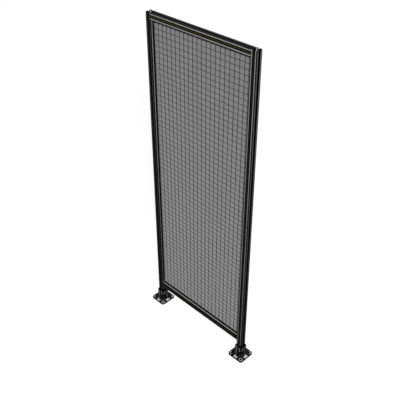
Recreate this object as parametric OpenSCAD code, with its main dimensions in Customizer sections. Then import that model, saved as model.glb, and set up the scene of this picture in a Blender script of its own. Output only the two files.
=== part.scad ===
// Free-standing machine guard fence panel: two slotted aluminium posts joined
// by a top and a bottom rail, a welded wire grid backed by a smoke sheet in the
// slots, covers in the front slots and a cast foot under each post.
// Millimetres. +X runs along the panel, +Y to its back, +Z up.
// The origin is the centre of the left foot's underside.

/* [Panel] */
// Overall width over the outer faces of the posts
panel_width = 762; // [500:1:1200]
// Overall height from the floor to the top of the posts
panel_height = 2032; // [1200:1:2400]
// Gap between the floor and the bottom rail
floor_gap = 125.7; // [100:0.1:300]

/* [Slotted profile] */
// Side of the square profile
profile_side = 38.1; // [36:0.1:45]
// Radius of the profile's outer corners
profile_corner = 1.5; // [1:0.1:3]
// Width of a slot's mouth
slot_mouth = 8.1; // [8:0.1:9]
// Thickness of the lips beside a slot's mouth
lip_thickness = 4.8; // [4:0.1:5.5]
// Chamfer on the lips' edges at the mouth
mouth_chamfer = 0.8; // [0.4:0.1:1.2]
// Width of the slot behind its lips
slot_cavity = 20.6; // [18:0.1:21]
// Depth of a slot from the outer face to its floor
slot_depth = 12.4; // [12:0.1:13]
// Width of a slot's floor
slot_floor = 9; // [8:0.1:10]
// Diameter of the profile's centre bore
core_bore = 6.7; // [6:0.1:7]

/* [Infill] */
// Pitch of the square wire grid
grid_pitch = 31.75; // [20:0.05:60]
// Diameter of a grid wire
wire_diameter = 2.5; // [2:0.1:2.8]
// Thickness of the smoke sheet
sheet_thickness = 1.9; // [1:0.1:2]
// How far the infill reaches into the slots
infill_reach = 6; // [4:0.5:7]
// How far the gasket shows beyond the profile
gasket_lip = 2; // [1:0.1:3]

/* [Slot covers] */
// Thickness of a slot cover's face strip
cover_thickness = 1.6; // [1:0.1:2]

/* [Foot] */
// Side of the square base plate
foot_side = 114.3; // [108:0.1:150]
// Radius of the base plate's corners
foot_corner = 16; // [8:0.5:20]
// Thickness of the base plate
foot_plate = 8; // [6:0.5:12]
// Wall thickness of the collar round the post
collar_wall = 6; // [4:0.5:7]
// Height of the collar's rim above the floor
collar_height = 85; // [60:1:100]
// Height at which a gusset leaves the collar's corner
gusset_height = 46; // [30:1:55]
// Width of the raised pad up the middle of a collar face
pad_width = 12; // [8:0.5:16]
// How far that pad stands out
pad_proud = 1.2; // [0.8:0.1:3]
// How far the pad's root runs out over the plate
pad_root = 9; // [5:0.5:12]
// How far the gussets stop short of the plate's edge
edge_margin = 3; // [2:0.5:6]
// Spacing of the four anchor holes
anchor_spacing = 79; // [78:0.5:82]
// Diameter of an anchor hole
anchor_hole = 11; // [9:0.5:12]
// Diameter of the raised ring round an anchor hole
anchor_boss = 24; // [18:0.5:26]

/* [Hidden] */
half = profile_side / 2;
axis_gap = panel_width - profile_side;
open_left = half;
open_right = axis_gap - half;
open_bottom = floor_gap + profile_side;
open_top = panel_height - profile_side;
open_width = open_right - open_left;
open_height = open_top - open_bottom;
mid_x = axis_gap / 2;
overlap = 0.9;
sheet_back = 3;
sheet_front = sheet_back - sheet_thickness;
wire_back_y = sheet_front - 0.1 - wire_diameter / 2;
wire_front_y = wire_back_y - wire_diameter + overlap;
columns = floor(open_width / grid_pitch) + 1;
rows = floor(open_height / grid_pitch) + 1;
column_start = open_left + (open_width - (columns - 1) * grid_pitch) * 0.3;
row_start = open_bottom + (open_height - (rows - 1) * grid_pitch) * 0.38;
foot_seat = foot_plate;
fit_gap = 0.2;

// One slot's outline, opening towards +Y
module slot_2d() {
    polygon([[-slot_mouth / 2 - mouth_chamfer, half + 1], [slot_mouth / 2 + mouth_chamfer, half + 1],
             [slot_mouth / 2 + mouth_chamfer, half], [slot_mouth / 2, half - mouth_chamfer],
             [slot_mouth / 2, half - lip_thickness], [slot_cavity / 2, half - lip_thickness],
             [slot_cavity / 2, half - lip_thickness - 1.2], [slot_floor / 2, half - slot_depth],
             [-slot_floor / 2, half - slot_depth], [-slot_cavity / 2, half - lip_thickness - 1.2],
             [-slot_cavity / 2, half - lip_thickness], [-slot_mouth / 2, half - lip_thickness],
             [-slot_mouth / 2, half - mouth_chamfer], [-slot_mouth / 2 - mouth_chamfer, half]]);
}

// A square with round corners
module round_square_2d(side, radius) {
    square([side - 2 * radius, side], center = true);
    square([side, side - 2 * radius], center = true);
    for (sx = [-1, 1], sy = [-1, 1])
        translate([sx * (side / 2 - radius), sy * (side / 2 - radius)])
            circle(r = radius, $fn = 32);
}

// A length of slotted profile along +Z
module profile(length) {
    difference() {
        linear_extrude(height = length)
            difference() {
                round_square_2d(profile_side, profile_corner);
                for (turn = [0:3]) rotate(90 * turn) slot_2d();
            }
        translate([0, 0, -1]) cylinder(d = core_bore, h = length + 2, $fn = 32);
    }
}

// A post, with a key hole through its core behind each rail screw
module post() {
    difference() {
        translate([0, 0, foot_seat]) profile(panel_height - foot_seat);
        for (z = [floor_gap + half, panel_height - half])
            translate([-half, 0, z]) rotate([0, 90, 0])
                cylinder(d = core_bore, h = profile_side, $fn = 32);
    }
}

module left_post() { color("silver") post(); }

module right_post() { color("silver") translate([axis_gap, 0, 0]) post(); }

// A rail between the posts, its lower face at height z
module rail(z) {
    translate([open_left, 0, z + half]) rotate([0, 90, 0]) profile(open_width);
}

module top_rail() { color("silver") rail(open_top); }

module bottom_rail() { color("silver") rail(floor_gap); }

// A section of the welded grid: rows first to last, wires in columns between z0 and z1
module grid_section(first, last, z0, z1) {
    for (c = [0:columns - 1])
        translate([column_start + c * grid_pitch, wire_front_y, z0])
            cylinder(d = wire_diameter, h = z1 - z0, $fn = 6);
    for (r = [first:last])
        translate([open_left - infill_reach, wire_back_y, row_start + r * grid_pitch])
            rotate([0, 90, 0]) cylinder(d = wire_diameter, h = open_width + 2 * infill_reach, $fn = 6);
}

quarter_1 = floor(rows / 4);
quarter_2 = floor(rows / 2);
quarter_3 = floor(rows * 3 / 4);
seam_1 = row_start + (quarter_1 - 0.5) * grid_pitch;
seam_2 = row_start + (quarter_2 - 0.5) * grid_pitch;
seam_3 = row_start + (quarter_3 - 0.5) * grid_pitch;

module grid_lowest() { color("black") grid_section(0, quarter_1 - 1, open_bottom - infill_reach, seam_1); }

module grid_lower() { color("black") grid_section(quarter_1, quarter_2 - 1, seam_1, seam_2); }

module grid_upper() { color("black") grid_section(quarter_2, quarter_3 - 1, seam_2, seam_3); }

module grid_highest() { color("black") grid_section(quarter_3, rows - 1, seam_3, open_top + infill_reach); }

module smoke_sheet() {
    color("dimgray")
        translate([open_left - infill_reach, sheet_front, open_bottom - infill_reach])
            cube([open_width + 2 * infill_reach, sheet_thickness, open_height + 2 * infill_reach]);
}

// A U-shaped gasket along +Z, its closed side towards -X
module gasket(length) {
    depth = infill_reach + 2;
    linear_extrude(height = length)
        difference() {
            translate([-depth, -slot_mouth / 2 + 0.05]) square([depth + gasket_lip, slot_mouth - 0.1]);
            translate([-infill_reach, -sheet_back - 0.1]) square([infill_reach + gasket_lip + 1, 2 * sheet_back + 0.2]);
        }
}

module left_gasket() { color("black") translate([open_left, 0, open_bottom]) gasket(open_height); }

module right_gasket() { color("black") translate([open_right, 0, open_bottom]) rotate(180) gasket(open_height); }

module top_gasket() {
    color("black") translate([open_left + gasket_lip + fit_gap, 0, open_top])
        rotate([0, 90, 0]) gasket(open_width - 2 * gasket_lip - 2 * fit_gap);
}

module bottom_gasket() {
    color("black") translate([open_right - gasket_lip - fit_gap, 0, open_bottom])
        rotate([0, -90, 0]) gasket(open_width - 2 * gasket_lip - 2 * fit_gap);
}

// A snap-in slot cover along +Z, its face towards -Y
module cover(length) {
    linear_extrude(height = length)
        polygon([[-slot_mouth / 2 + 0.05, -half + 0.1], [slot_mouth / 2 - 0.05, -half + 0.1],
                 [slot_mouth / 2 - 0.05, -half + lip_thickness + 0.2], [slot_mouth / 2 + 0.7, -half + lip_thickness + 0.2],
                 [slot_mouth / 2 - 0.6, -half + lip_thickness + 2], [slot_mouth / 2 - 1.3, -half + lip_thickness + 2],
                 [slot_mouth / 2 - 1.3, -half + cover_thickness], [-slot_mouth / 2 + 1.3, -half + cover_thickness],
                 [-slot_mouth / 2 + 1.3, -half + lip_thickness + 2], [-slot_mouth / 2 + 0.6, -half + lip_thickness + 2],
                 [-slot_mouth / 2 - 0.7, -half + lip_thickness + 0.2], [-slot_mouth / 2 + 0.05, -half + lip_thickness + 0.2]]);
}

cover_start = collar_height + 1;

module left_front_cover() { color("olive") translate([0, 0, cover_start]) cover(panel_height - cover_start); }

module right_front_cover() { color("olive") translate([axis_gap, 0, cover_start]) cover(panel_height - cover_start); }

module top_front_cover() { color("olive") translate([open_left, 0, panel_height - half]) rotate([0, 90, 0]) cover(open_width); }

module bottom_front_cover() { color("olive") translate([open_left, 0, floor_gap + half]) rotate([0, 90, 0]) cover(open_width); }

collar_side = profile_side + 2 * (collar_wall + fit_gap);
gusset_end = foot_side / 2 - edge_margin;

// One gusset: the collar's wall carried on past its corner, down to the plate's edge
module gusset() {
    translate([0, -collar_side / 2 + collar_wall, 0]) rotate([90, 0, 0])
        linear_extrude(height = collar_wall)
            polygon([[0, 1], [0, gusset_height], [collar_side / 2, gusset_height],
                     [gusset_end, foot_plate + 2], [gusset_end, 1]]);
}

// A pad's root, running out over the plate
module pad_foot() {
    translate([-pad_width / 2, -collar_side / 2 - pad_proud, 0]) rotate([90, 0, 90])
        linear_extrude(height = pad_width)
            polygon([[1, 1], [1, foot_plate + pad_root + 1], [0, foot_plate + pad_root + 1],
                     [-pad_root * 0.55, foot_plate + pad_root * 0.35], [-pad_root, foot_plate + 0.8], [-pad_root, 1]]);
}

// A cast foot: base plate, collar, gussets past its corners, face pads and ringed anchor holes
module foot() {
    difference() {
        union() {
            linear_extrude(height = foot_plate) round_square_2d(foot_side, foot_corner);
            linear_extrude(height = collar_height) round_square_2d(collar_side, 2);
            for (turn = [0:3]) rotate(90 * turn) {
                gusset();
                mirror([1, 0, 0]) gusset();
                translate([-pad_width / 2, -collar_side / 2 - pad_proud, 1])
                    cube([pad_width, collar_wall, collar_height - 5]);
                pad_foot();
            }
            for (sx = [-1, 1], sy = [-1, 1])
                translate([sx * anchor_spacing / 2, sy * anchor_spacing / 2, 0])
                    cylinder(d = anchor_boss, h = foot_plate + 1, $fn = 48);
        }
        translate([-profile_side / 2 - fit_gap, -profile_side / 2 - fit_gap, foot_seat])
            cube([profile_side + 2 * fit_gap, profile_side + 2 * fit_gap, collar_height]);
        translate([0, 0, -1]) cylinder(d = core_bore + 0.6, h = foot_plate + 2, $fn = 32);
        translate([0, 0, -1]) cylinder(d = 18, h = 6, $fn = 32);
        for (sx = [-1, 1], sy = [-1, 1])
            translate([sx * anchor_spacing / 2, sy * anchor_spacing / 2, -1])
                cylinder(d = anchor_hole, h = foot_plate + 5, $fn = 32);
    }
}

module left_foot() { color("gray") foot(); }

module right_foot() { color("gray") translate([axis_gap, 0, 0]) foot(); }

// The screw that pulls a foot up against its post
module foot_bolt() {
    translate([0, 0, 0.6]) cylinder(d = 14, h = 4.4, $fn = 32);
    translate([0, 0, 5]) cylinder(d = core_bore - 0.2, h = 28, $fn = 32);
}

module left_foot_bolt() { color("dimgray") foot_bolt(); }

module right_foot_bolt() { color("dimgray") translate([axis_gap, 0, 0]) foot_bolt(); }

// A rail screw along +X: head behind the post's lips, shank in the rail's bore
module rail_screw() {
    translate([-lip_thickness - 4, 0, 0]) rotate([0, 90, 0]) cylinder(d = 14, h = 4, $fn = 32);
    translate([-lip_thickness - 1, 0, 0]) rotate([0, 90, 0]) cylinder(d = core_bore - 0.2, h = lip_thickness + 25, $fn = 32);
}

module top_left_screw() { color("dimgray") translate([open_left, 0, panel_height - half]) rail_screw(); }

module top_right_screw() { color("dimgray") translate([open_right, 0, panel_height - half]) rotate(180) rail_screw(); }

module bottom_left_screw() { color("dimgray") translate([open_left, 0, floor_gap + half]) rail_screw(); }

module bottom_right_screw() { color("dimgray") translate([open_right, 0, floor_gap + half]) rotate(180) rail_screw(); }

left_post();
right_post();
top_rail();
bottom_rail();
grid_lowest();
grid_lower();
grid_upper();
grid_highest();
smoke_sheet();
left_gasket();
right_gasket();
top_gasket();
bottom_gasket();
left_front_cover();
right_front_cover();
top_front_cover();
bottom_front_cover();
left_foot();
right_foot();
left_foot_bolt();
right_foot_bolt();
top_left_screw();
top_right_screw();
bottom_left_screw();
bottom_right_screw();
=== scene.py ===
import math

import bpy
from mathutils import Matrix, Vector


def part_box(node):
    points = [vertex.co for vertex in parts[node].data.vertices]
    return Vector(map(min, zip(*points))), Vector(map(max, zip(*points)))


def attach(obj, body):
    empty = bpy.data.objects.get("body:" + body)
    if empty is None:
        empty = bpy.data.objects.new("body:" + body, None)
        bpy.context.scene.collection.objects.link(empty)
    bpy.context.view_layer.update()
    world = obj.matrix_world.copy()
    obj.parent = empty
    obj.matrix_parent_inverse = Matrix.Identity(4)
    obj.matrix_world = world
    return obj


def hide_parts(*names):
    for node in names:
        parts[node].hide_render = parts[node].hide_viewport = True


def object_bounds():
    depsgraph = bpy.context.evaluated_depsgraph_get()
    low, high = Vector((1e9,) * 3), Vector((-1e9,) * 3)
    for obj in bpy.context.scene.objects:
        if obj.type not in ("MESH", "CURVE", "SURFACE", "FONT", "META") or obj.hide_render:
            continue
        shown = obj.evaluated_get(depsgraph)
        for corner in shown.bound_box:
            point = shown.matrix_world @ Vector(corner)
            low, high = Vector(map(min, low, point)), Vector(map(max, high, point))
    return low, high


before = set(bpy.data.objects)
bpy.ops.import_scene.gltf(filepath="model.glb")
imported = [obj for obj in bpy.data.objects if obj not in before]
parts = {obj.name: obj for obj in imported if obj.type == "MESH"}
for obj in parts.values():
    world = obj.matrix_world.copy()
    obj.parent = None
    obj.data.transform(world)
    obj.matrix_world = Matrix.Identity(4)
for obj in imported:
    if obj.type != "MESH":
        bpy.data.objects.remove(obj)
cad_low, cad_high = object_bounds()

# Camera. It stands off the panel's right front and looks down at its middle,
# as far to the right as to the front and above.
stand_off = 2.113
panel_middle = (cad_low + cad_high) / 2
camera_data = bpy.data.cameras.new("camera")
camera_data.angle = math.radians(35)
camera_data.clip_end = 100
camera = bpy.data.objects.new("camera", camera_data)
camera.location = panel_middle + Vector((stand_off, -stand_off, stand_off))
camera.rotation_euler = (panel_middle - camera.location).to_track_quat("-Z", "Y").to_euler()
bpy.context.scene.collection.objects.link(camera)
bpy.context.scene.camera = camera


# Posts and rails. Extruded aluminium with a slot along each side, black
# anodised, then brushed along its length, which bares a grey band on the land
# beside each slot. How light a band is on each face and side is painted shading,
# and the bands are darker towards the floor and on the left.
X, Y, Z = range(3)
profile_half = 0.01905
bare_depth = 0.0003            # the brushing stays this close to the profile's faces
post_band = (0.0092, 0.0146)   # where a bare band starts and ends, from a face's middle
rail_band = (0.0092, 0.0150)
closer_by = 0.0012             # how much nearer its slot one land of each length is bared
post_fade = (0.3, 1.85)        # the bands grow brighter between these levels
brushed_from = 0.098           # no band shows below this, in and just above the feet
web_half = 0.0045              # half the width, along x, of the web on a post's sawn top
web_reach = 0.0155             # how far out the web goes
slot_black, web_grey = 0.0012, 0.42
dull = 0.006                   # specular level of the black finishes
squarely = 0.9                 # a direction counts as along an axis from this share on
grain_along, grain_across = 3, 400
soft_edge = 0.00025            # half the width of a pattern's edge


class Value:
    """A value that varies over a surface, so that a pattern reads as arithmetic."""

    def __init__(self, finish, socket):
        self.finish, self.socket = finish, socket

    def _math(self, operation, *values):
        return self.finish.node("ShaderNodeMath", {"operation": operation}, *values)

    def __add__(self, other):
        return self._math("ADD", self, other)

    def __sub__(self, other):
        return self._math("SUBTRACT", self, other)

    def __rsub__(self, other):
        return self._math("SUBTRACT", other, self)

    def __mul__(self, other):
        return self._math("MULTIPLY", self, other)

    def __abs__(self):
        return self._math("ABSOLUTE", self)

    def __gt__(self, other):
        return self._math("GREATER_THAN", self, other)

    def __lt__(self, other):
        return self._math("LESS_THAN", self, other)

    def smaller(self, other):
        return self._math("MINIMUM", self, other)

    def larger(self, other):
        return self._math("MAXIMUM", self, other)

    __radd__ = __add__
    __rmul__ = __mul__


class Finish:
    """A material, or the world's light, and the one method that adds a node to it."""

    def __init__(self, name, library=bpy.data.materials):
        self.block = library.new(name)
        self.block.use_nodes = True
        self.tree = self.block.node_tree
        self.tree.nodes.clear()

    def node(self, kind, settings=None, *values, output=0, **named):
        """Adds a node with its settings, gives its inputs values or links, returns an output.

        values go to the inputs in their order, and None leaves one as it is.
        """
        added = self.tree.nodes.new(kind)
        for key, setting in (settings or {}).items():
            setattr(added, key, setting)
        inputs = list(enumerate(values)) + [(k.replace("_", " "), v) for k, v in named.items()]
        for place, value in inputs:
            if isinstance(value, Value):
                self.tree.links.new(value.socket, added.inputs[place])
            elif value is not None:
                added.inputs[place].default_value = value
        return Value(self, added.outputs[output]) if added.outputs else added

    def split(self, vector):
        """X, Y and Z of a vector."""
        return [self.node("ShaderNodeSeparateXYZ", {}, vector, output=axis) for axis in (X, Y, Z)]

    def place(self):
        """X, Y and Z of a point on the piece, in metres."""
        return self.split(self.node("ShaderNodeTexCoord", output="Object"))

    def facing(self):
        """X, Y and Z of the surface's direction, as sizes without sign."""
        way = self.node("ShaderNodeNewGeometry", output="True Normal")
        return [abs(size) for size in self.split(way)]

    def noise(self, scale, stretch=(1, 1, 1), detail=3.0):
        """Even noise, stretched along an axis where the finish has a grain."""
        at = self.node("ShaderNodeTexCoord", output="Object")
        at = self.node("ShaderNodeMapping", {}, Vector=at, Scale=stretch)
        return self.node("ShaderNodeTexNoise", {}, Vector=at, Scale=scale, Detail=detail)

    def ramp(self, value, low, high):
        """0 below low, 1 above high, straight between."""
        return self.node("ShaderNodeMapRange", {"clamp": True}, value, low, high, 0.0, 1.0)

    def step(self, value, edge):
        """0 below edge, 1 above, over half a millimetre."""
        return self.ramp(value, edge - soft_edge, edge + soft_edge)

    def between(self, value, low, high):
        """1 from low to high, 0 outside."""
        return self.step(value, low) * (1 - self.step(value, high))

    def blend(self, factor, first, second):
        """A colour between two colours."""
        settings = {"data_type": "RGBA", "blend_type": "MIX"}
        not_colours = [None] * 5
        return self.node("ShaderNodeMix", settings, factor, *not_colours, first, second, output=2)

    def grey(self, value):
        """A neutral colour as light as value."""
        return self.blend(value, (0, 0, 0, 1), (1, 1, 1, 1))

    def uneven(self, light, noise, by):
        """A value that the noise makes darker or lighter, by this share at most."""
        return light * ((1 - by) + noise * (2 * by))

    def bump(self, height, depth):
        """Small relief in the surface, depth in metres."""
        return self.node("ShaderNodeBump", {}, Strength=0.6, Distance=depth, Height=height)

    def surface(self, **inputs):
        """Ends the material with one Principled surface."""
        principled = self.node("ShaderNodeBsdfPrincipled", {}, **inputs)
        self.node("ShaderNodeOutputMaterial", {}, principled)
        return self.block


def give(piece, material):
    """Makes this the piece's only material."""
    piece.data.materials.clear()
    piece.data.materials.append(material)


def profile_finish(name, along, centre, band, fade, painted_land_shade, closer, joint=None):
    """Slotted profile that runs along one axis through centre.

    band is where the bared metal starts and ends on a land, and fade the stretch
    of the profile over which it grows from dark to bright. The painted land shade
    gives, for the faces across an axis, painted shading: how light the land on
    the low and on the high side gets there, and what share of that is missing
    where it is darkened. closer names, by its face's axis and its side, the land
    that was brushed closer to its slot.
    joint gives the side and the height at which the top rail meets a post, where
    the rail's bands run on to the post's.
    """
    make = Finish(name)
    place, facing = make.place(), make.facing()
    across = [axis for axis in (X, Y, Z) if axis != along]
    other = dict(zip(across, reversed(across)))
    offset = {axis: place[axis] - centre[axis] for axis in across}
    first, second = (abs(offset[axis]) for axis in across)
    outer, sideways = first.larger(second), first.smaller(second)

    close_axis, close_side = closer
    close_land = facing[close_axis] * (offset[other[close_axis]] * close_side > 0)
    bare = make.between(sideways + close_land * closer_by, *band)
    if joint:
        rail_side, rail_height = joint
        rail_bands = make.between(abs(place[Z] - rail_height), *band)
        rail_bands = rail_bands * (offset[X] * rail_side > 0)
        bare = bare.larger(make.step(sideways, band[1]) * rail_bands * facing[Y])
        bare = bare * (place[Z] > brushed_from)
    bare = bare * (outer > profile_half - bare_depth)

    # darker towards the floor on the posts and towards the left on the rails
    darkened = 1 - make.ramp(place[along], *fade)
    light = 0
    # painted shading: each face's land gets its own lightness, by the axis it faces and its side
    for axis, (low_side, high_side, loss) in painted_land_shade.items():
        pair = low_side + (offset[other[axis]] > 0) * (high_side - low_side)
        light = light + facing[axis] * pair * (1 - darkened * loss)
    stretch = tuple(grain_along if axis == along else grain_across for axis in (X, Y, Z))
    grain = make.noise(scale=1.0, stretch=stretch)
    light = make.uneven(light * bare, grain, by=0.2)
    if joint:
        web = abs(offset[X] + offset[Y]) < web_half
        light = light + web * (outer < web_reach) * (facing[Z] > squarely) * web_grey
    return make.surface(
        Base_Color=make.grey(light + slot_black),
        Roughness=0.40 + grain * 0.16,
        Metallic=bare * 0.35,
        Normal=make.bump(grain, depth=0.00005),
        Specular_IOR_Level=dull,
    )


def middle_of(node):
    low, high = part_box(node)
    return (low + high) / 2


right_axis = middle_of("right_post").x
top_height = middle_of("top_rail").z
bottom_height = middle_of("bottom_rail").z
rail_fade = (0, right_axis)
# The land values for each face below are painted shading, set face by face and side by side.
give(parts["left_post"], profile_finish(
    "left_post_profile", Z, (0, 0, 0), post_band, post_fade,
    painted_land_shade={Y: (0.060, 0.039, 0.80), X: (0.260, 0.260, 0.66)},
    closer=(Y, -1), joint=(1, top_height),
))
give(parts["right_post"], profile_finish(
    "right_post_profile", Z, (right_axis, 0, 0), post_band, post_fade,
    painted_land_shade={Y: (0.235, 0.235, 0.52), X: (0.092, 0.130, 0.82)},
    closer=(X, 1), joint=(-1, top_height),
))
give(parts["top_rail"], profile_finish(
    "top_rail_profile", X, (0, 0, top_height), rail_band, rail_fade,
    painted_land_shade={Y: (0.280, 0.280, 0.12), Z: (0.015, 0.125, 0.45)}, closer=(Z, 1),
))
give(parts["bottom_rail"], profile_finish(
    "bottom_rail_profile", X, (0, 0, bottom_height), rail_band, rail_fade,
    painted_land_shade={Y: (0.014, 0.003, 0.20), Z: (0.52, 0.52, 0.10)}, closer=(Y, -1),
))


# Wire grid. Straight round wires welded where they cross, the upright ones in
# front, coated black, with painted light on the sides that face up or down,
# which makes the level wires lighter. One wire of each direction is made and
# copied over.
wire_radius = 0.00125
wire_sides = 10
grid_pitch = 0.03175
left_share, low_share = 0.3, 0.38   # of the opening left over by whole pitches
coat_grey, painted_light_grey = 0.014, 0.090
grid_nodes = ["grid_lowest", "grid_lower", "grid_upper", "grid_highest"]
grid_low = Vector(map(min, *(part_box(n)[0] for n in grid_nodes)))
grid_high = Vector(map(max, *(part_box(n)[1] for n in grid_nodes)))
open_low = Vector((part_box("top_rail")[0].x, 0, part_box("bottom_rail")[1].z))
open_high = Vector((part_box("top_rail")[1].x, 0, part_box("top_rail")[0].z))


def pick(*chosen):
    """Selects these objects alone, the first of them active."""
    bpy.ops.object.select_all(action="DESELECT")
    for piece in chosen:
        piece.select_set(True)
    if chosen:
        bpy.context.view_layer.objects.active = chosen[0]


def settle(piece, name):
    """Names a finished piece and puts its place into its mesh."""
    pick(piece)
    bpy.ops.object.transform_apply(location=True, rotation=True, scale=True)
    piece.name = piece.data.name = name
    return piece


def join(pieces, name):
    """Makes several pieces one."""
    pick(*pieces)
    bpy.ops.object.join()
    return settle(pieces[0], name)


def wires(name, length, turn, start, step, count):
    """A row of like wires, made by copying one."""
    pick()
    bpy.ops.mesh.primitive_cylinder_add(
        vertices=wire_sides, radius=wire_radius, depth=length, location=start, rotation=turn
    )
    wire = settle(bpy.context.object, name)
    row = wire.modifiers.new("row", "ARRAY")
    row.use_relative_offset = False
    row.use_constant_offset = True
    row.constant_offset_displace = step
    row.count = count
    bpy.ops.object.modifier_apply(modifier="row")
    bpy.ops.object.shade_smooth_by_angle(angle=math.radians(50))
    return wire


opening = open_high - open_low
columns = math.floor(opening.x / grid_pitch) + 1
rows = math.floor(opening.z / grid_pitch) + 1
column_start = open_low.x + (opening.x - (columns - 1) * grid_pitch) * left_share
row_start = open_low.z + (opening.z - (rows - 1) * grid_pitch) * low_share
front_y = grid_low.y + wire_radius
back_y = grid_high.y - wire_radius
grid_middle = (grid_low + grid_high) / 2
upright = wires(
    "upright_wires", grid_high.z - grid_low.z, (0, 0, 0),
    (column_start, front_y, grid_middle.z), (grid_pitch, 0, 0), columns,
)
level = wires(
    "level_wires", grid_high.x - grid_low.x, (0, math.pi / 2, 0),
    (grid_middle.x, back_y, row_start), (0, 0, grid_pitch), rows,
)
grid = join([upright, level], "welded_grid")

make = Finish("black_coated_wire")
mottle = make.noise(scale=900)
# painted light: faces that look up or down, mostly the level wires', are made lighter
painted_light_up_down = make.facing()[Z]
give(grid, make.surface(
    Base_Color=make.grey(coat_grey + mottle * coat_grey + painted_light_up_down * painted_light_grey),
    Roughness=0.45 + mottle * 0.2,
    Normal=make.bump(mottle, depth=0.00004),
    Specular_IOR_Level=0.1,
))
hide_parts(*grid_nodes)
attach(grid, "root")


# Smoke sheet. Thin grey polycarbonate cut to the opening, right behind the
# grid, its edges held in the same gaskets. It is a little darker towards the
# top, and nearly black along the gaskets, which shade it.
smoke_grey, haze_grey, top_loss, shaded_grey = 0.270, 0.020, 0.050, 0.003
darkening = (0.3, 2.0)              # levels between which it gets darker
shaded_edge = (0.0030, 0.0055)      # from the edge of the opening
make = Finish("smoke_polycarbonate")
haze = make.noise(scale=6, detail=4.0)
ripple = make.noise(scale=60)
x, _, z = make.place()
tone = smoke_grey + haze * haze_grey - make.ramp(z, *darkening) * top_loss
from_sides = (x - open_low.x).smaller(open_high.x - x)
from_edge = from_sides.smaller(z - open_low.z).smaller(open_high.z - z)
give(parts["smoke_sheet"], make.surface(
    Base_Color=make.grey(tone * make.ramp(from_edge, *shaded_edge) + shaded_grey),
    Roughness=0.5 + haze * 0.1,
    Alpha=0.88,
    Normal=make.bump(ripple, depth=0.00002),
    Specular_IOR_Level=0.2,
))


# Gaskets. Black rubber channels pressed into the inner slots, with the edges
# of the grid and the sheet pushed into them.
make = Finish("gasket_rubber")
mottle = make.noise(scale=500)
gasket_rubber = make.surface(
    Base_Color=make.blend(mottle, (0.002, 0.002, 0.002, 1), (0.004, 0.004, 0.004, 1)),
    Roughness=0.75 + mottle * 0.15,
    Normal=make.bump(mottle, depth=0.0001),
    Specular_IOR_Level=dull,
)
for name in ("left_gasket", "right_gasket", "top_gasket", "bottom_gasket"):
    give(parts[name], gasket_rubber)


# Slot covers. Dark olive plastic strips snapped into the front slots, a little
# below the face of the profile, nearly black along both edges. How light the
# olive is on each cover is painted shading, darkest on the left post.
post_olive_half, rail_olive_half = 0.0012, 0.0020
black_edge = (0.0018, 0.0018, 0.0014, 1)
mottled_to = 0.8               # the olive's darkest spots, as a share of it


def cover_finish(name, across, centre, olive, half_width):
    """Plastic strip across an axis, with the olive showing in its middle."""
    make = Finish(name)
    edge = make.step(abs(make.place()[across] - centre), half_width)
    mottle = make.noise(scale=300)
    dark_olive = tuple(mottled_to * c for c in olive[:3]) + (1,)
    colour = make.blend(mottle, dark_olive, olive)
    return make.surface(
        Base_Color=make.blend(edge, colour, black_edge),
        Roughness=0.5 + mottle * 0.15,
        Normal=make.bump(mottle, depth=0.00005),
        Specular_IOR_Level=dull,
    )


# painted shading: each cover's olive is lighter or darker, nearly black on the left post
for node, across, centre, half_width, olive in (
    ("left_front_cover", X, 0, post_olive_half, (0.004, 0.004, 0.003, 1)),
    ("right_front_cover", X, right_axis, post_olive_half, (0.025, 0.025, 0.007, 1)),
    ("top_front_cover", Z, top_height, rail_olive_half, (0.049, 0.049, 0.011, 1)),
    ("bottom_front_cover", Z, bottom_height, rail_olive_half, (0.026, 0.026, 0.003, 1)),
):
    give(parts[node], cover_finish(node + "_plastic", across, centre, olive, half_width))


# Feet. Cast with a square plate, a collar round the post and walls carried on
# past the collar's corners, then coated black. The plate's top and the flats of
# the walls are ground bright, short of every edge. How light a ground flat is,
# by the way it faces and the side of the foot it is on, is painted shading.
edge_round = 0.0004
cad_weld, cast_weld = 0.00002, 0.00001
tip_reach, tip_levels = 0.030, (0.03, 0.05)      # where tips are too narrow to round
ground_corner, ground_radius = 0.04115, 0.0115   # rounded outline of the plate's ground top
plate_below = 0.02                               # the plate's top is under this level
hole_place = 0.0395                              # how far out the holes lie, in x and y
ring_radii = (0.0066, 0.0138)                    # ground ring round each hole
half_ring_radius, half_ring_edge = 0.0125, -0.002
window_half, window_from = 0.0140, 0.0310        # window between the gussets of one side
wall_face = 0.0248                               # the walls' faces lie further out
strip_sides, strip_levels = (0.0090, 0.0170), (0.013, 0.081)
front_corner_from = 0.047                        # the front corner's strips start here
gusset_from, gusset_above = 0.030, 0.014
gusset_root, gusset_height = 0.02525, 0.046      # where its slope starts, and how high
gusset_fall, gusset_rim = 1.246, 0.006           # slope, and coated rim below it
pad_half, pad_levels = 0.0042, (0.046, 0.080)
slant_sides, slant_run = (0.0206, 0.0239), (0.029, 0.050)
slant_facing = (0.5, 0.75)                       # how much a gusset's sloping top looks up
level_facing, upright_facing, wall_facing = 0.95, 0.05, 0.95
# painted shading: these greys make flats that look up far lighter than the walls' flats
ring_grey, window_grey, painted_light_front_right = 0.36, 0.12, 0.40
strip_grey, painted_light_front_back = 0.06, 0.05
gusset_grey, pad_grey, slant_grey = 0.022, 0.02, 0.025
coat_black = 0.001


def duplicate(source):
    """A copy of an object with its own mesh."""
    twin = source.copy()
    twin.data = source.data.copy()
    bpy.context.scene.collection.objects.link(twin)
    return twin


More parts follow.
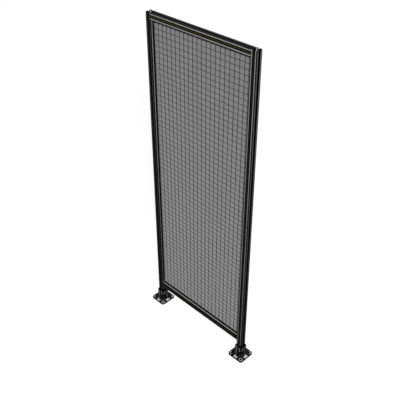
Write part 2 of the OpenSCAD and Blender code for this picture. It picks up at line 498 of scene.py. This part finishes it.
def cast_foot(node):
    """A merged copy of the node, its edges softened as a mould leaves them."""
    foot = duplicate(parts[node])
    foot.parent = None
    for key in list(foot.keys()):   # the marks of a node, which the copy isn't
        if key.startswith("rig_"):
            del foot[key]
    pick(foot)
    bpy.ops.object.mode_set(mode="EDIT")
    bpy.ops.mesh.select_all(action="SELECT")
    bpy.ops.mesh.remove_doubles(threshold=cad_weld)
    bpy.ops.mesh.dissolve_limited(angle_limit=math.radians(1))
    bpy.ops.mesh.select_mode(type="EDGE")
    bpy.ops.mesh.select_all(action="DESELECT")
    bpy.ops.mesh.edges_select_sharp(sharpness=math.radians(40))
    bpy.ops.object.mode_set(mode="OBJECT")
    axis = middle_of(node).x
    corners = foot.data.vertices
    rounded = foot.data.attributes.new("bevel_weight_edge", "FLOAT", "EDGE")
    for edge, weight in zip(foot.data.edges, rounded.data):
        ends = [corners[i].co for i in edge.vertices]
        tip = any(
            max(abs(end.x - axis), abs(end.y)) < tip_reach
            and tip_levels[0] < end.z < tip_levels[1] for end in ends
        )
        under = all(end.z < edge_round for end in ends)
        weight.value = float(edge.select and not tip and not under)
    rounding = foot.modifiers.new("rounding", "BEVEL")
    rounding.width = edge_round
    rounding.segments = 2
    rounding.limit_method = "WEIGHT"
    rounding.use_clamp_overlap = False
    bpy.ops.object.modifier_apply(modifier="rounding")
    bpy.ops.object.mode_set(mode="EDIT")
    bpy.ops.mesh.select_all(action="SELECT")
    bpy.ops.mesh.remove_doubles(threshold=cast_weld)
    bpy.ops.mesh.dissolve_degenerate(threshold=cast_weld)
    bpy.ops.object.mode_set(mode="OBJECT")
    bpy.ops.object.shade_smooth_by_angle(angle=math.radians(35))
    return foot


def foot_finish(name, axis):
    """Black coat with ground flats. Sizes run outwards from the foot's axis."""
    make = Finish(name)
    place, facing = make.place(), make.facing()
    x, y, z = abs(place[X] - axis), abs(place[Y]), place[Z]
    outer, inner = x.larger(y), x.smaller(y)
    front_corner = (place[X] > axis) * (place[Y] < 0)
    side_corner = (place[X] - axis) * place[Y] > 0

    # Plate: a ring round each hole, of which the two side corners show only the
    # outer half, the inner half painted black as the gussets' shade, and a window
    # on each side, with painted light making those at the front and the right
    # lighter.
    over_x, over_y = (x - ground_corner).larger(0), (y - ground_corner).larger(0)
    flat = over_x * over_x + over_y * over_y < ground_radius ** 2
    flat = flat * (facing[Z] > level_facing) * (z < plate_below)
    hole_x, hole_y = x - hole_place, y - hole_place
    from_hole = hole_x * hole_x + hole_y * hole_y
    ring = (from_hole > ring_radii[0] ** 2) * (from_hole < ring_radii[1] ** 2)
    # painted shade: the inner half of each side corner's ring is left black
    ring_gap = (hole_x + hole_y < half_ring_edge).larger(from_hole > half_ring_radius ** 2)
    ring = ring * (1 - side_corner * ring_gap)
    window = (1 - make.step(inner, window_half)) * make.step(outer, window_from)
    # painted light: the windows on the front and the right side get the extra grey
    clear = (y > x) * (place[Y] < 0) + (x > y) * (place[X] > axis)
    plate = flat * (ring * ring_grey).larger(window * (window_grey + clear * painted_light_front_right))

    # Walls: a strip on both sides of each pad, at the front corner only its upper
    # part, the middle of the pad, and each gusset inside its coated rim. Painted
    # light makes the strips on the faces towards the front and the back lighter.
    upright = (facing[Z] < upright_facing) * (facing[X].larger(facing[Y]) > wall_facing)
    along = facing[Y] * x + facing[X] * y
    outside = facing[Y] * y + facing[X] * x > wall_face
    strip = make.between(along, *strip_sides) * make.between(z, *strip_levels) * outside
    strip = strip * (1 - front_corner * (z < front_corner_from))
    slope = gusset_height - (along - gusset_root) * gusset_fall
    gusset = make.step(along, gusset_from) * (z > gusset_above) * (z < slope - gusset_rim)
    pad = (along < pad_half) * make.between(z, *pad_levels) * outside
    # painted light: strips on faces towards the front or the back get the extra grey
    walls = strip * (strip_grey + facing[Y] * painted_light_front_back) + gusset * gusset_grey + pad * pad_grey

    # The gussets' sloping tops.
    slant = (facing[Z] > slant_facing[0]) * (facing[Z] < slant_facing[1])
    slant = slant * make.between(inner, *slant_sides) * make.between(outer, *slant_run)

    grain, blotch = make.noise(scale=700), make.noise(scale=40)
    light = plate + upright * walls + slant * slant_grey
    return make.surface(
        Base_Color=make.grey(make.uneven(light, blotch, by=0.1) + coat_black),
        Roughness=0.55 + grain * 0.2,
        Normal=make.bump(grain, depth=0.00012),
        Specular_IOR_Level=dull,
    )


casting = cast_foot("right_foot")
for side, axis in (("left", 0), ("right", right_axis)):
    foot = duplicate(casting)
    foot.location.x = axis - right_axis
    foot = settle(foot, side + "_cast_foot")
    give(foot, foot_finish(side + "_foot_coat", axis))
    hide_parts(side + "_foot")
    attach(foot, "root")
bpy.data.objects.remove(casting)


# Screws. Blackened steel. The rail screws and the foot bolts are nearly hidden.
# Each foot clamps its post with four button heads, one on each pad.
pad_face = 0.02645                  # how far out from the foot's axis a pad lies
head_level = 0.028
head_radius, head_height = 0.008, 0.0036
head_sunk = 0.0002                  # depth of the head's flat side in the pad
dome_round = 0.0024
recess_radius, recess_depth = 0.0029, 0.002
facing_front = (math.pi / 2, 0, 0)
make = Finish("black_steel")
mottle = make.noise(scale=600)
black_steel = make.surface(
    Base_Color=make.blend(mottle, (0.003, 0.003, 0.003, 1), (0.008, 0.008, 0.008, 1)),
    Roughness=0.4 + mottle * 0.2,
    Specular_IOR_Level=0.1,
)
for name in parts:
    if name.endswith(("_screw", "_bolt")):
        give(parts[name], black_steel)


def button_head():
    """A domed head with a six-sided recess, its flat side on a front pad."""
    pick()
    bpy.ops.mesh.primitive_cylinder_add(
        vertices=32, radius=head_radius, depth=head_height, rotation=facing_front,
        calc_uvs=False, location=(0, -pad_face - head_height / 2 + head_sunk, head_level),
    )
    head = settle(bpy.context.object, "button_head")
    bpy.ops.object.mode_set(mode="EDIT")
    bpy.ops.mesh.select_mode(type="FACE")
    bpy.ops.mesh.select_all(action="DESELECT")
    bpy.ops.object.mode_set(mode="OBJECT")
    for polygon in head.data.polygons:
        polygon.select = polygon.normal.y < -squarely
    bpy.ops.object.mode_set(mode="EDIT")
    bpy.ops.mesh.bevel(offset=dome_round, segments=4)
    bpy.ops.object.mode_set(mode="OBJECT")
    pick()
    bpy.ops.mesh.primitive_cylinder_add(
        vertices=6, radius=recess_radius, depth=2 * recess_depth, rotation=facing_front,
        calc_uvs=False, location=(0, -pad_face - head_height, head_level),
    )
    recess = settle(bpy.context.object, "recess")
    cut = head.modifiers.new("recess", "BOOLEAN")
    cut.object = recess
    cut.solver = "EXACT"
    pick(head)
    bpy.ops.object.modifier_apply(modifier="recess")
    bpy.data.objects.remove(recess)
    bpy.ops.object.shade_smooth_by_angle(angle=math.radians(35))
    return head


pattern = button_head()
for side, axis in (("left", 0), ("right", right_axis)):
    heads = []
    for turn in range(4):
        head = duplicate(pattern)
        head.rotation_euler.z = turn * math.pi / 2
        head.location.x = axis
        heads.append(settle(head, f"{side}_clamp_screw_{turn}"))
    screws = join(heads, side + "_clamp_screws")
    give(screws, black_steel)
    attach(screws, "root")
bpy.data.objects.remove(pattern)


# Floor. A plain pale matt floor that shows white, keeps the panel's shadow and
# has shade painted on it, nearly black, right under each foot.
floor_size = 60
floor_middle = (0.36, 0, -0.0005)   # just below the feet
under_reach, under_corner = 0.055, 0.098
shown_white = 0.85                  # the rest that shows is the lit floor with its shadow


def seen_rays(make):
    """1 for what is seen, straight, in gloss or through glass, and 0 for light."""
    camera_ray, glossy_ray, through_ray = (
        make.node("ShaderNodeLightPath", output=f"Is {kind} Ray")
        for kind in ("Camera", "Glossy", "Transmission")
    )
    return camera_ray.larger(glossy_ray).larger(through_ray)


pick()
bpy.ops.mesh.primitive_plane_add(size=floor_size, location=floor_middle)
floor = settle(bpy.context.object, "floor")
make = Finish("pale_floor")
seen = seen_rays(make)
x, y, _ = make.place()
x, y = abs(x).smaller(abs(x - right_axis)), abs(y)
# painted shade: a nearly black patch under each foot, seen through its holes
under = (x.larger(y) < under_reach) * (x + y < under_corner)
pale = make.blend(seen, (0.35, 0.35, 0.35, 1), (0.9, 0.9, 0.9, 1))
matt = make.node("ShaderNodeBsdfDiffuse", Color=make.blend(under, pale, (0.02, 0.02, 0.02, 1)))
glow = make.node("ShaderNodeEmission", Color=(1, 1, 1, 1), Strength=1.04)
show = seen * (1 - under) * shown_white
make.node("ShaderNodeOutputMaterial", {}, make.node("ShaderNodeMixShader", {}, show, matt, glow))
give(floor, make.block)


# Light. A softbox lamp from the right front, a weaker one from low behind that
# no gloss mirrors, and even light from all round, which itself shows as white.
for name, energy, angle, way in (
    ("softbox", 3.2, 6, (-0.695, 0.535, -0.481)),
    ("fill", 1.2, 30, (-0.10, -0.92, -0.38)),
):
    light = bpy.data.lights.new(name, "SUN")
    light.energy = energy
    light.angle = math.radians(angle)
    lamp = bpy.data.objects.new(name, light)
    lamp.rotation_euler = Vector(way).to_track_quat("-Z", "Y").to_euler()
    lamp.visible_glossy = name == "softbox"
    bpy.context.scene.collection.objects.link(lamp)

studio = Finish("studio", library=bpy.data.worlds)
around, white = (
    studio.node("ShaderNodeBackground", {}, Color=(1, 1, 1, 1), Strength=strength)
    for strength in (0.45, 1.0)
)
both = studio.node("ShaderNodeMixShader", {}, seen_rays(studio), around, white)
studio.node("ShaderNodeOutputWorld", {}, both)
bpy.context.scene.world = studio.block
bpy.context.scene.view_settings.view_transform = "Standard"
